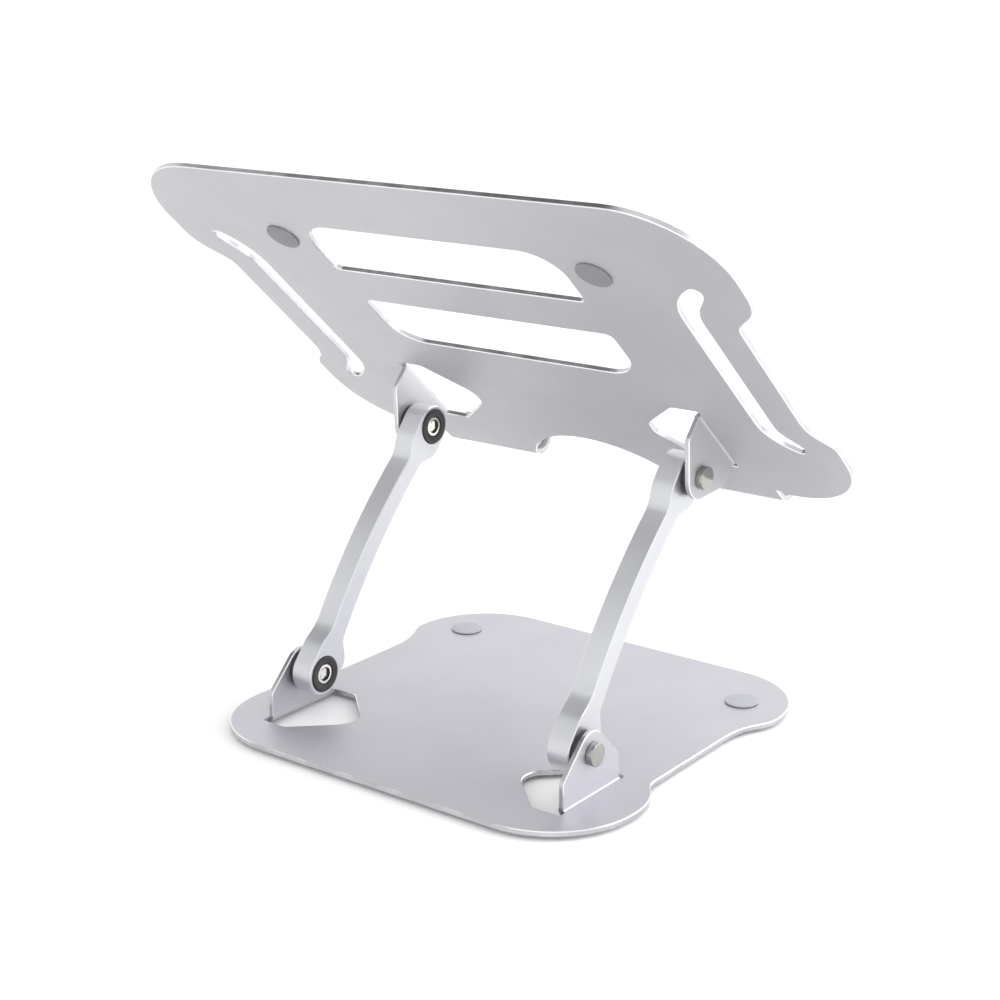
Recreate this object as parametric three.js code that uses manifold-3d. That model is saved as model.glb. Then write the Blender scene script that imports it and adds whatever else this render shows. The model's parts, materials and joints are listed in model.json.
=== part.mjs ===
// Folding laptop stand in bent aluminium sheet: a base plate, two bowed arms and a slotted platform.
// Millimetres, +Z up, user at -Y, rear at +Y. The origin is on the desk under the middle of the base.
import * as THREE from "three";
import { mergeVertices } from "three/addons/utils/BufferGeometryUtils.js";
import Module from "manifold-3d";

const wasm = await Module();
wasm.setup();

// ---------- driving sizes ----------

const SHEET = 2.4; // thickness of both plates
const EDGE_BREAK = 0.35; // polished chamfer round every cut edge of the sheet
const SEAT_GAP = 0.3; // gap left between two pieces that rest on each other
const RUN_GAP = 0.3; // radial running gap round a pin
const CURVE_STEPS = 9; // straight runs in each free curve of an outline
const BIG_ARC_STEP = 7.5; // degrees of turn in one run of a large arc
const SMALL_ARC_STEP = 15;
const ROUND_STEPS = 24; // sides of a turned piece

const BASE = {
  depth: 200,
  rearHalf: 103.3,
  frontHalf: 101.7,
  waistHalf: 93.2,
  rearRadius: 40.5,
  frontRadius: 40,
  rearStepStart: 43, // distances from the rear edge
  rearStepEnd: 72,
  frontStepStart: 72, // distances from the front edge
  frontStepEnd: 40,
  pivotFromRear: 44.8,
};

const PLATFORM = {
  depth: 213, // rear edge to the front edge beside the hooks
  rearHalf: 143,
  waistHalf: 129.8,
  frontHalf: 139.5,
  rearRadius: 40.2,
  frontRadius: 38.5,
  rearStepStart: 50.5, // distances from the rear edge
  rearStepEnd: 76,
  frontStepStart: 71, // distances from the front edge beside the hooks
  frontStepEnd: 50,
  pivotFromFront: 42.7,
  notchDepth: 19.9,
  notchRadius: 44.4,
  reliefWidth: 1.8,
  reliefDepth: 2.2,
};

const CUTOUT = {
  halfWidth: 64.3,
  rearStart: 35.2,
  rearEnd: 67.8,
  frontStart: 91.2,
  frontEnd: 123.4,
  outerRadius: 16,
  barRadius: 3.2,
};

const SLOT = {
  inner: 107,
  width: 8,
  straightStart: 72, // from the platform's rear edge
  straightEnd: 65, // from the platform's front edge
  rearTip: 48,
  frontTip: 44,
  tipReach: 12.5, // how far the tips swing out past the inner edge
  tipSwell: 5.5,
  tipRound: 3.2,
};

const HOOK = {
  outer: 93,
  flatLength: 5.7, // flat tongue past the platform's front edge, before the curl
  radius: 7.5,
  sweep: 105, // degrees
  lip: 6.5,
};

const EAR = {
  outerFace: 80, // from the middle plane of the stand
  halfLength: 20,
  pivotHeight: 18.2, // above the face of the sheet
  tipRadius: 9.6,
  cornerRadius: 3.5,
  sideHeight: 10.3,
  bendRadius: 1,
};

const EAR_OPENING = {
  endGap: 3.4, // past each end of the ear
  reach: 32.6, // from the ear's outer face to the far end of the opening
  tipRadius: 10.5,
  cornerRadius: 4,
  cornerReach: 11,
};

const ARM = {
  length: 125.6, // pivot to pivot
  width: 10.8,
  eyeWall: 1.3, // round the counterbore that takes the cup washer
  shoulder: 7.5, // how far each eye keeps its full height along the arm
  neck: 21.5, // from a pivot to the start of the bar
  rearLow: 7.6, // where the bar's rear edge runs at its lower end, behind the pivot line
  rearHigh: 6.6,
  frontLow: -1.8, // the same for its front edge
  frontHigh: -2.3,
  rearBow: 2.9, // rise of the rear edge in the middle of the bar
  frontBow: 2.6,
  edgeChamfer: 0.4,
};

const PIVOT = {
  pinRadius: 4,
  headLip: 1, // how far the pin's head stands out past its shank
  headHeight: 2.8,
  headChamfer: 0.5,
  threadRadius: 2,
  boreFloor: 1.2, // from the seat of the pin's head to the end of its bore
  boreSpare: 1.5, // free length of the bore past the end of the screw
  washerRadius: 8.6,
  washerThick: 2,
  cupWall: 3.3,
  cupProud: 0.7, // how far the cup washer stands out of the arm
  cupFloor: 1.2,
  screwRecess: 0.5, // from the rim of the cup washer to the screw's face
  screwHeadRadius: 4.5,
  screwHeadHeight: 1.8,
  socketAcross: 5.8,
  socketDepth: 1.2,
  springHeight: 1,
  bushWall: 1.3,
};

const PAD = { radius: 7.5, height: 0.8, x: 79, fromBaseFront: 33.2, fromPlatformRear: 45.4 };
const FOOT = { radius: 8, height: 1.5, rearX: 66, frontX: 76, fromRear: 12.5, fromFront: 27 };
const GRIP = { length: 52, width: 9, height: 1.2, rearX: 84, frontX: 108, fromRear: 20, fromFront: 31 };
const LINER = { height: 1.2, inset: 3 };

const POSE = { armAngle: 51.1, tilt: 41.8 }; // degrees above the desk, as the stand is stored

const radians = (degrees) => (degrees * Math.PI) / 180;

// ---------- materials ----------

const finish = (color, roughness, metalness) =>
  new THREE.MeshStandardMaterial({ color, roughness, metalness });
const metal = (color, roughness) => finish(color, roughness, 1);
const soft = (color, roughness) => finish(color, roughness, 0);

const FINISH = {
  anodised: metal(0xc4c4cb, 0.42),
  arm: metal(0xcdced2, 0.38),
  nickel: metal(0xd8d6d0, 0.15),
  steel: metal(0x9a9a98, 0.3),
  blackNylon: soft(0x1b1b1a, 0.5),
  bushing: soft(0xd9d5c6, 0.45),
  greyRubber: soft(0x96979d, 0.75),
};

// ---------- solids ----------

/** A closed manifold-3d solid from a three.js geometry, turned the right way out. */
function solid(geometry) {
  const bare = geometry.clone();
  bare.deleteAttribute("normal");
  bare.deleteAttribute("uv");
  const merged = mergeVertices(bare, 1e-4);
  const index = Array.from(merged.index.array);
  const triVerts = [];
  for (let i = 0; i < index.length; i += 3) {
    const [a, b, c] = index.slice(i, i + 3);
    if (a !== b && b !== c && a !== c) triVerts.push(a, b, c);
  }
  const vertProperties = merged.attributes.position.array;
  const made = fromArrays(vertProperties, triVerts);
  if (made.volume() > 0) return made;
  const flipped = [];
  for (let i = 0; i < triVerts.length; i += 3) {
    flipped.push(triVerts[i], triVerts[i + 2], triVerts[i + 1]);
  }
  return fromArrays(vertProperties, flipped);
}

function fromArrays(vertProperties, triVerts) {
  const mesh = new wasm.Mesh({ numProp: 3, vertProperties, triVerts: new Uint32Array(triVerts) });
  return new wasm.Manifold(mesh);
}

/** A named mesh holding one solid. */
function piece(name, made, material) {
  const data = made.getMesh();
  const geometry = new THREE.BufferGeometry();
  geometry.setAttribute("position", new THREE.BufferAttribute(new Float32Array(data.vertProperties), 3));
  geometry.setIndex(new THREE.BufferAttribute(new Uint32Array(data.triVerts), 1));
  geometry.computeVertexNormals();
  const mesh = new THREE.Mesh(geometry, material);
  mesh.name = name;
  return mesh;
}

/** How many straight runs stand in for a curve: large arcs are cut finer than small ones. */
function stepsFor(curve) {
  if (curve.isLineCurve) return 1;
  if (!curve.isEllipseCurve) return CURVE_STEPS;
  let sweep = curve.aEndAngle - curve.aStartAngle;
  if (!curve.aClockwise && sweep < 0) sweep += 2 * Math.PI;
  const step = curve.xRadius > 9 ? BIG_ARC_STEP : SMALL_ARC_STEP;
  return Math.max(2, Math.ceil(Math.abs(sweep) / radians(step)));
}

/** The outline's corner points, with each one given once. */
function cornersOf(path) {
  const found = [];
  for (const curve of path.curves) {
    for (const p of curve.getPoints(stepsFor(curve))) {
      if (!found.length || found[found.length - 1].distanceTo(p) > 1e-3) found.push(p);
    }
  }
  if (found[0].distanceTo(found[found.length - 1]) < 1e-3) found.pop();
  return found;
}

/** An outline pushed up from z = 0, with the same break on all its edges. */
function slab(shape, height, edge, edgeSteps = 1) {
  const faceted = new THREE.Shape(cornersOf(shape));
  shape.holes?.forEach((hole) => faceted.holes.push(new THREE.Path(cornersOf(hole))));
  const geometry = new THREE.ExtrudeGeometry(faceted, {
    depth: height - 2 * edge,
    bevelEnabled: edge > 0,
    bevelThickness: edge,
    bevelSize: edge,
    bevelOffset: -edge,
    bevelSegments: edgeSteps,
  });
  return geometry.translate(0, 0, edge);
}

/** A turned solid on the X axis. Each point is [distance along the axis, radius]. */
function turned(profile, steps = ROUND_STEPS) {
  const points = profile.map(([along, radius]) => new THREE.Vector2(radius, along));
  const closed = profile[0][1] > 0;
  if (closed) points.push(points[0].clone());
  return new THREE.LatheGeometry(points, steps).rotateZ(-Math.PI / 2);
}

/** A plain ring on the X axis, with a small chamfer on its outer rims. */
function ring(start, end, hole, radius, chamfer = 0) {
  if (!chamfer) return turned([[start, hole], [start, radius], [end, radius], [end, hole]]);
  return turned([
    [start, hole],
    [start, radius - chamfer],
    [start + chamfer, radius],
    [end - chamfer, radius],
    [end, radius - chamfer],
    [end, hole],
  ]);
}

/** Moves a piece made on the +X side's axis to a pivot of either side. */
function atPivot(geometry, side, pivot) {
  if (side < 0) geometry.rotateZ(Math.PI);
  return geometry.translate(0, pivot.y, pivot.z);
}

// ---------- outlines ----------

/** The line round a set of circles, given counter-clockwise as [x, y, radius]. */
function beltPath(circles, path) {
  const count = circles.length;
  const turns = circles.map(([x, y, radius], i) => {
    const [nx, ny, nextRadius] = circles[(i + 1) % count];
    const heading = Math.atan2(ny - y, nx - x);
    const lean = Math.asin((radius - nextRadius) / Math.hypot(nx - x, ny - y));
    return heading - Math.PI / 2 + lean;
  });
  circles.forEach(([x, y, radius], i) => {
    path.absarc(x, y, radius, turns[(i + count - 1) % count], turns[i], false);
  });
  return path;
}

/** A shape that is its own mirror image: the +X half is drawn from front to rear by draw. */
function mirroredShape(draw) {
  const half = new THREE.Path();
  draw(half);
  const shape = new THREE.Shape();
  half.curves.forEach((curve) => shape.curves.push(curve));
  [...half.curves].reverse().forEach((curve) => shape.curves.push(mirrored(curve)));
  return shape;
}

/** The same curve on the other side of the middle plane, run backwards. */
function mirrored(curve) {
  const flip = (p) => new THREE.Vector2(-p.x, p.y);
  const { v0, v1, v2, v3 } = curve;
  if (curve.isLineCurve) return new THREE.LineCurve(flip(v2), flip(v1));
  if (curve.isCubicBezierCurve) return new THREE.CubicBezierCurve(flip(v3), flip(v2), flip(v1), flip(v0));
  if (curve.isQuadraticBezierCurve) return new THREE.QuadraticBezierCurve(flip(v2), flip(v1), flip(v0));
  const { aX, aY, xRadius, aStartAngle, aEndAngle, aClockwise } = curve;
  const [start, end] = [Math.PI - aEndAngle, Math.PI - aStartAngle];
  return new THREE.EllipseCurve(-aX, aY, xRadius, xRadius, start, end, aClockwise);
}

const point = (x, y) => new THREE.Vector2(x, y);

/** A soft step between two half widths that leaves and arrives parallel to the side. */
function sideStep(path, from, to) {
  const [leave, arrive] = [0.34, 0.62]; // shares of the step that its two handles take
  const run = to.y - from.y;
  path.bezierCurveTo(from.x, from.y + run * leave, to.x, to.y - run * arrive, to.x, to.y);
}

function baseOutline() {
  const [front, rear] = [-BASE.depth / 2, BASE.depth / 2];
  const { frontHalf, rearHalf, waistHalf, frontRadius, rearRadius } = BASE;
  return mirroredShape((path) => {
    path.moveTo(0, front);
    path.lineTo(frontHalf - frontRadius, front);
    path.absarc(frontHalf - frontRadius, front + frontRadius, frontRadius, -Math.PI / 2, 0);
    const [stepEnd, stepStart] = [front + BASE.frontStepEnd, front + BASE.frontStepStart];
    path.lineTo(frontHalf, stepEnd);
    sideStep(path, point(frontHalf, stepEnd), point(waistHalf, stepStart));
    path.lineTo(waistHalf, rear - BASE.rearStepEnd);
    sideStep(path, point(waistHalf, rear - BASE.rearStepEnd), point(rearHalf, rear - BASE.rearStepStart));
    path.absarc(rearHalf - rearRadius, rear - rearRadius, rearRadius, 0, Math.PI / 2);
    path.lineTo(0, rear);
  });
}

const platformPivot = PLATFORM.pivotFromFront - PLATFORM.depth;
const notchStart = PLATFORM.notchDepth - PLATFORM.depth;
const notchCentre = notchStart - PLATFORM.notchRadius;
const curlStart = -PLATFORM.depth - HOOK.flatLength;
const hookInner = Math.sqrt(PLATFORM.notchRadius ** 2 - (notchCentre - curlStart) ** 2);

/** The flat blank of the platform, rear edge on y = 0 and front towards -y, hooks not yet curled. */
function platformOutline() {
  const { rearHalf, waistHalf, frontHalf, rearRadius, frontRadius, depth } = PLATFORM;
  const notchEnd = Math.acos(hookInner / PLATFORM.notchRadius);
  const hookFoot = -depth + PLATFORM.reliefDepth;
  return mirroredShape((path) => {
    path.moveTo(0, notchStart);
    path.absarc(0, notchCentre, PLATFORM.notchRadius, Math.PI / 2, notchEnd, true);
    path.lineTo(HOOK.outer, curlStart);
    path.lineTo(HOOK.outer, hookFoot);
    path.lineTo(HOOK.outer + PLATFORM.reliefWidth, hookFoot);
    path.lineTo(HOOK.outer + PLATFORM.reliefWidth, -depth);
    path.lineTo(frontHalf - frontRadius, -depth);
    path.absarc(frontHalf - frontRadius, -depth + frontRadius, frontRadius, -Math.PI / 2, 0);
    const [stepEnd, stepStart] = [PLATFORM.frontStepEnd - depth, PLATFORM.frontStepStart - depth];
    path.lineTo(frontHalf, stepEnd);
    sideStep(path, point(frontHalf, stepEnd), point(waistHalf, stepStart));
    path.lineTo(waistHalf, -PLATFORM.rearStepEnd);
    sideStep(path, point(waistHalf, -PLATFORM.rearStepEnd), point(rearHalf, -PLATFORM.rearStepStart));
    path.lineTo(rearHalf, -rearRadius);
    path.absarc(rearHalf - rearRadius, -rearRadius, rearRadius, 0, Math.PI / 2);
    path.lineTo(0, 0);
  });
}

/** One of the two wide vents: large corners away from the cross bar, small ones along it. */
function ventPath(start, end, frontCorner, rearCorner) {
  const w = CUTOUT.halfWidth;
  return beltPath(
    [
      [w - frontCorner, -end + frontCorner, frontCorner],
      [w - rearCorner, -start - rearCorner, rearCorner],
      [rearCorner - w, -start - rearCorner, rearCorner],
      [frontCorner - w, -end + frontCorner, frontCorner],
    ],
    new THREE.Path(),
  );
}

/** One end of the side slot: up its inner edge, round the swept tip and back down its outer edge. */
function slotTip(run, place) {
  const { inner, width, tipReach, tipSwell, tipRound } = SLOT;
  const [outer, tip] = [inner + width, inner + tipReach];
  const points = [
    [inner, 0],
    [inner, run * 0.48],
    [inner + tipSwell, run * 0.8],
    [tip, run],
    [tip + tipRound + 1.2, run + 1],
    [tip + tipRound + 0.8, run - tipRound - 0.8],
    [outer + tipSwell, run * 0.5],
    [outer, run * 0.4],
    [outer, 0],
  ];
  return points.map(([x, y]) => point(x, place(y)));
}

/** The long side slot: straight in the middle, both tips swept outwards. */
function slotPath() {
  const { straightStart, straightEnd, frontTip, rearTip } = SLOT;
  const front = slotTip(straightEnd - frontTip, (y) => straightEnd - PLATFORM.depth - y);
  const rear = slotTip(straightStart - rearTip, (y) => y - straightStart).reverse();
  const path = new THREE.Path();
  path.moveTo(SLOT.inner, -straightStart);
  for (const [start, a, b, c, d, e, f, g, end] of [front, rear]) {
    path.lineTo(start.x, start.y);
    path.bezierCurveTo(a.x, a.y, b.x, b.y, c.x, c.y);
    path.quadraticCurveTo(d.x, d.y, e.x, e.y);
    path.bezierCurveTo(f.x, f.y, g.x, g.y, end.x, end.y);
  }
  return path;
}

/** The window an ear was cut from and bent out of, on the +X side of a pivot line at y = centre. */
function earOpeningPath(centre) {
  const { endGap, reach, tipRadius, cornerRadius, cornerReach } = EAR_OPENING;
  const bendLine = EAR.outerFace + EAR.bendRadius - 0.4;
  const corner = 1;
  const half = EAR.halfLength + endGap;
  const cornerX = EAR.outerFace - cornerReach;
  const tipX = EAR.outerFace - reach + tipRadius;
  return beltPath(
    [
      [bendLine - corner, centre - half + corner, corner],
      [bendLine - corner, centre + half - corner, corner],
      [cornerX, centre + half - cornerRadius, cornerRadius],
      [tipX, centre, tipRadius],
      [cornerX, centre - half + cornerRadius, cornerRadius],
    ],
    new THREE.Path(),
  );
}

/** The same closed outline on the other side of the middle plane. */
function mirrorPath(path) {
  const other = new THREE.Path();
  [...path.curves].reverse().forEach((curve) => other.curves.push(mirrored(curve)));
  return other;
}

function bothSides(path) {
  return [path, mirrorPath(path)];
}

/** An ear's outline: x runs along the bend, y stands out of the sheet. */
function earShape() {
  const side = EAR.halfLength - EAR.cornerRadius;
  const rise = EAR.pivotHeight - EAR.sideHeight;
  const lean = Math.asin((EAR.cornerRadius - EAR.tipRadius) / Math.hypot(side, rise));
  const turn = Math.atan2(rise, -side) - Math.PI / 2 + lean;
  const shape = new THREE.Shape();
  shape.moveTo(-EAR.halfLength, EAR.bendRadius - EDGE_BREAK);
  shape.lineTo(EAR.halfLength, EAR.bendRadius - EDGE_BREAK);
  shape.absarc(side, EAR.sideHeight, EAR.cornerRadius, 0, turn);
  shape.absarc(0, EAR.pivotHeight, EAR.tipRadius, turn, Math.PI - turn);
  shape.absarc(-side, EAR.sideHeight, EAR.cornerRadius, Math.PI - turn, Math.PI);
  shape.closePath();
  return shape;
}

/** A soft S between two heights that leaves and arrives along the arm. */
function armStep(shape, from, to) {
  const reach = (to.x - from.x) / 2;
  shape.bezierCurveTo(from.x + reach, from.y, to.x - reach, to.y, to.x, to.y);
}

/** The arm's side view: x runs from the lower pivot to the upper one, y towards the rear. */
function armShape() {
  const { length, shoulder, neck } = ARM;
  const r = eyeRadius;
  const { rearLow, rearHigh, rearBow, frontLow, frontHigh, frontBow } = ARM;
  const middle = length / 2;
  const high = length - neck;
  const shape = new THREE.Shape();
  shape.moveTo(0, -r);
  shape.lineTo(shoulder, -r);
  armStep(shape, point(shoulder, -r), point(neck, frontLow));
  shape.quadraticCurveTo(middle, (frontLow + frontHigh) / 2 + 2 * frontBow, high, frontHigh);
  armStep(shape, point(high, frontHigh), point(length - shoulder, -r));
  shape.lineTo(length, -r);
  shape.absarc(length, 0, r, radians(-90), radians(90));
  shape.lineTo(length - shoulder, r);
  armStep(shape, point(length - shoulder, r), point(high, rearHigh));
  shape.quadraticCurveTo(middle, (rearLow + rearHigh) / 2 + 2 * rearBow, neck, rearLow);
  armStep(shape, point(neck, rearLow), point(shoulder, r));
  shape.lineTo(0, r);
  shape.absarc(0, 0, r, radians(90), radians(270));
  return shape;
}

/** A sheet curling away from y = 0 in a hook: x runs out of the sheet's front, y across it. */
function curlShape(outer, thickness, lip, overlap) {
  const end = radians(90 - HOOK.sweep);
  const inner = outer - thickness;
  const [across, along] = [Math.cos(end), Math.sin(end)];
  const middle = outer - thickness / 2;
  const tip = point(across * middle + along * lip, along * middle - across * lip - outer);
  const shape = new THREE.Shape();
  shape.moveTo(-overlap, 0);
  shape.absarc(0, -outer, outer, Math.PI / 2, end, true);
  shape.absarc(tip.x, tip.y, thickness / 2, end, end - Math.PI, true);
  shape.absarc(0, -outer, inner, end, Math.PI / 2, false);
  shape.lineTo(-overlap, -thickness);
  shape.closePath();
  return shape;
}

// ---------- bent sheet ----------

/** Turns geometry drawn in x, y and pushed along z so that it runs along the given axes. */
function reframe(geometry, xAxis, yAxis) {
  const zAxis = new THREE.Vector3().crossVectors(xAxis, yAxis);
  return geometry.applyMatrix4(new THREE.Matrix4().makeBasis(xAxis, yAxis, zAxis));
}

const [alongX, alongY, alongZ] = [
  new THREE.Vector3(1, 0, 0),
  new THREE.Vector3(0, 1, 0),
  new THREE.Vector3(0, 0, 1),
];

/** The +X side's ear with its bend, standing on the face z = 0 of a sheet, its pin at y = centre. */
function earSolid(centre) {
  const blade = reframe(slab(earShape(), SHEET, EDGE_BREAK), alongY, alongZ);
  blade.translate(EAR.outerFace - SHEET, centre, 0);
  const bend = new THREE.Shape();
  const [inside, outside] = [EAR.bendRadius, EAR.bendRadius + SHEET];
  bend.absarc(0, 0, outside, Math.PI, 1.5 * Math.PI, false);
  bend.absarc(0, 0, inside, 1.5 * Math.PI, Math.PI, true);
  bend.closePath();
  const length = { depth: 2 * EAR.halfLength, bevelEnabled: false, curveSegments: 6 };
  const turn = new THREE.ExtrudeGeometry(bend, length);
  reframe(turn, alongX, alongZ);
  turn.translate(EAR.outerFace + inside, centre + EAR.halfLength, inside);
  const [start, finish] = [EAR.outerFace - 2 * SHEET, EAR.outerFace + SHEET];
  const hole = turned([[start, 0], [start, pinHole], [finish, pinHole], [finish, 0]]);
  hole.translate(0, centre, EAR.pivotHeight);
  return solid(blade).add(solid(turn)).subtract(solid(hole));
}

const pinHole = PIVOT.pinRadius + RUN_GAP;

function mirrorSolid(made) {
  return made.mirror([1, 0, 0]);
}

/** A flat sheet under z = 0 with an ear bent up on each side. */
function earedSheet(outline, holes, centre) {
  outline.holes.push(...holes, ...bothSides(earOpeningPath(centre)));
  const sheet = solid(slab(outline, SHEET, EDGE_BREAK).translate(0, 0, -SHEET));
  const ear = earSolid(centre);
  return sheet.add(ear).add(mirrorSolid(ear));
}

function hookSolid() {
  const width = HOOK.outer - hookInner;
  const geometry = slab(curlShape(HOOK.radius, SHEET, HOOK.lip, 1.2), width, EDGE_BREAK);
  reframe(geometry, alongY.clone().negate(), alongZ);
  return solid(geometry.translate(HOOK.outer, curlStart, 0));
}

function platformSolid() {
  const vents = [
    ventPath(CUTOUT.rearStart, CUTOUT.rearEnd, CUTOUT.barRadius, CUTOUT.outerRadius),
    ventPath(CUTOUT.frontStart, CUTOUT.frontEnd, CUTOUT.outerRadius, CUTOUT.barRadius),
  ];
  const sheet = earedSheet(platformOutline(), [...vents, ...bothSides(slotPath())], platformPivot);
  const hook = hookSolid();
  return sheet.add(hook).add(mirrorSolid(hook));
}

// ---------- arms ----------

const cupWell = PIVOT.screwHeadRadius + RUN_GAP;
const cupRadius = cupWell + PIVOT.cupWall;
const pocketRadius = cupRadius + RUN_GAP;
const eyeRadius = pocketRadius + ARM.eyeWall;
const bushOuter = pinHole + PIVOT.bushWall;

// Distances from the middle plane, from the ear inwards.
const armOuter = EAR.outerFace - SHEET - 2 * SEAT_GAP - PIVOT.washerThick;
const armInner = armOuter - ARM.width;

// And from the cup washer's rim outwards to the floor of the counterbore.
const cupRim = armInner - PIVOT.cupProud;
const screwFace = cupRim + PIVOT.screwRecess;
const screwNeck = screwFace + PIVOT.screwHeadHeight;
const cupFloorFace = screwNeck + SEAT_GAP;
const cupEnd = cupFloorFace + PIVOT.cupFloor;
const springStart = cupEnd + SEAT_GAP;
const pocketDepth = springStart + PIVOT.springHeight + SEAT_GAP - armInner;

/** One arm in its own frame: x towards the upper pivot, z across, its inner face on z = 0. */
function armSolid() {
  let made = solid(slab(armShape(), ARM.width, ARM.edgeChamfer));
  const cuts = [
    [bushOuter + SEAT_GAP, 4 * ARM.width],
    [pocketRadius, 2 * pocketDepth],
  ];
  for (const x of [0, ARM.length]) {
    for (const [radius, depth] of cuts) {
      const cutter = new THREE.CylinderGeometry(radius, radius, depth, ROUND_STEPS);
      made = made.subtract(solid(cutter.rotateX(Math.PI / 2).translate(x, 0, 0)));
    }
  }
  return made;
}

// ---------- pivot hardware, drawn on the +X side with x as the distance from the middle plane ----------

const pinSeat = EAR.outerFace + SEAT_GAP;
const boreEnd = pinSeat - PIVOT.boreFloor;

function pinSolid() {
  const end = armInner + pocketDepth + 0.4;
  const face = pinSeat + PIVOT.headHeight;
  const bore = PIVOT.threadRadius + RUN_GAP;
  const head = PIVOT.pinRadius + PIVOT.headLip;
  return turned([
    [boreEnd, 0],
    [boreEnd, bore],
    [end, bore],
    [end, PIVOT.pinRadius],
    [pinSeat, PIVOT.pinRadius],
    [pinSeat, head],
    [face - PIVOT.headChamfer, head],
    [face, head - PIVOT.headChamfer],
    [face, 0],
  ]);
}

function screwSolid() {
  const end = boreEnd - PIVOT.boreSpare;
  const rim = 0.4;
  const body = turned([
    [screwFace, 0],
    [screwFace, PIVOT.screwHeadRadius - rim],
    [screwFace + rim, PIVOT.screwHeadRadius],
    [screwNeck, PIVOT.screwHeadRadius],
    [screwNeck, PIVOT.threadRadius],
    [end, PIVOT.threadRadius],
    [end, 0],
  ]);
  const corner = PIVOT.socketAcross / Math.sqrt(3);
  const socket = new THREE.CylinderGeometry(corner, corner, 2 * PIVOT.socketDepth, 6);
  return solid(body).subtract(solid(socket.rotateZ(Math.PI / 2).translate(screwFace, 0, 0)));
}

function cupSolid() {
  const shank = PIVOT.threadRadius + 2 * RUN_GAP;
  return turned([
    [cupRim, cupWell],
    [cupRim, cupRadius - 0.4],
    [cupRim + 0.4, cupRadius],
    [cupEnd, cupRadius],
    [cupEnd, shank],
    [cupFloorFace, shank],
    [cupFloorFace, cupWell],
  ]);
}

function springSolid() {
  const rise = 0.5;
  const sheet = PIVOT.springHeight - rise;
  const [hole, rim] = [PIVOT.threadRadius + 1.2, cupRadius - 0.6];
  const [top, back] = [springStart + rise, springStart + sheet];
  return turned([[springStart, hole], [top, rim], [top + sheet, rim], [back, hole]]);
}

function bushSolid() {
  const start = armInner + pocketDepth + 0.1;
  return ring(start, armOuter - 0.1, pinHole, bushOuter);
}

function frictionWasherSolid() {
  const end = EAR.outerFace - SHEET - SEAT_GAP;
  return ring(armOuter + SEAT_GAP, end, pinHole, PIVOT.washerRadius, 0.3);
}

/** The pieces that stay with an ear: pin, friction washer, cup washer, disc spring and screw. */
function earHardware(place, side, pivot) {
  const put = (geometry) => solid(atPivot(geometry, side, pivot));
  const screw = screwSolid();
  const turnedScrew = side < 0 ? screw.rotate([0, 0, 180]) : screw;
  return [
    piece(`pivot_pin_${place}`, put(pinSolid()), FINISH.nickel),
    piece(`friction_washer_${place}`, put(frictionWasherSolid()), FINISH.blackNylon),
    piece(`cup_washer_${place}`, put(cupSolid()), FINISH.blackNylon),
    piece(`disc_spring_${place}`, put(springSolid()), FINISH.steel),
    piece(`socket_screw_${place}`, turnedScrew.translate([0, pivot.y, pivot.z]), FINISH.nickel),
  ];
}

// ---------- rubber ----------

/** A round pad lying on z = 0, with a soft rim. */
function roundPad(radius, height) {
  const rim = height * 0.4;
  const side = height - rim;
  const profile = [[0, 0], [0, radius], [side, radius], [height, radius - rim], [height, 0]];
  return turned(profile).rotateY(-Math.PI / 2);
}

/** A strip with rounded ends lying on z = 0, its length along x. */
function strip(length, width, height) {
  const r = width / 2;
  const run = length / 2 - r;
  return slab(beltPath([[run, 0, r], [-run, 0, r]], new THREE.Shape()), height, 0.25);
}

function linerSolid() {
  const gapRadius = HOOK.radius - SHEET - SEAT_GAP;
  const width = HOOK.outer - hookInner - 2 * LINER.inset;
  const geometry = slab(curlShape(gapRadius, LINER.height, HOOK.lip - 1, 0.5), width, 0);
  reframe(geometry, alongY.clone().negate(), alongZ);
  return geometry.translate(HOOK.outer - LINER.inset, curlStart, -SHEET - SEAT_GAP);
}

// ---------- assembly ----------

const sideName = (side) => (side < 0 ? "left" : "right");
const baseUnderside = FOOT.height + SEAT_GAP;
const baseFace = baseUnderside + SHEET;
const lowerPivot = { y: BASE.depth / 2 - BASE.pivotFromRear, z: baseFace + EAR.pivotHeight };
const armLean = radians(POSE.armAngle);
const upperPivot = {
  y: lowerPivot.y - ARM.length * Math.cos(armLean),
  z: lowerPivot.z + ARM.length * Math.sin(armLean),
};

const footPlaces = [
  ["front", FOOT.frontX, FOOT.fromFront - BASE.depth / 2],
  ["rear", FOOT.rearX, BASE.depth / 2 - FOOT.fromRear],
];

const gripPlaces = [
  ["rear", GRIP.rearX, -GRIP.fromRear],
  ["front", GRIP.frontX, GRIP.fromFront - PLATFORM.depth],
];

function baseGroup() {
  const group = new THREE.Group();
  const plate = earedSheet(baseOutline(), [], lowerPivot.y);
  group.add(piece("base_plate", plate.translate([0, 0, baseFace]), FINISH.anodised));
  for (const side of [-1, 1]) {
    const name = sideName(side);
    group.add(...earHardware(`lower_${name}`, side, lowerPivot));
    const pad = roundPad(PAD.radius, PAD.height);
    pad.translate(side * PAD.x, PAD.fromBaseFront - BASE.depth / 2, baseFace + SEAT_GAP);
    group.add(piece(`base_pad_${name}`, solid(pad), FINISH.greyRubber));
    for (const [end, x, y] of footPlaces) {
      const foot = roundPad(FOOT.radius, FOOT.height).rotateX(Math.PI);
      foot.translate(side * x, y, FOOT.height);
      group.add(piece(`desk_foot_${end}_${name}`, solid(foot), FINISH.greyRubber));
    }
  }
  return group;
}

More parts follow.
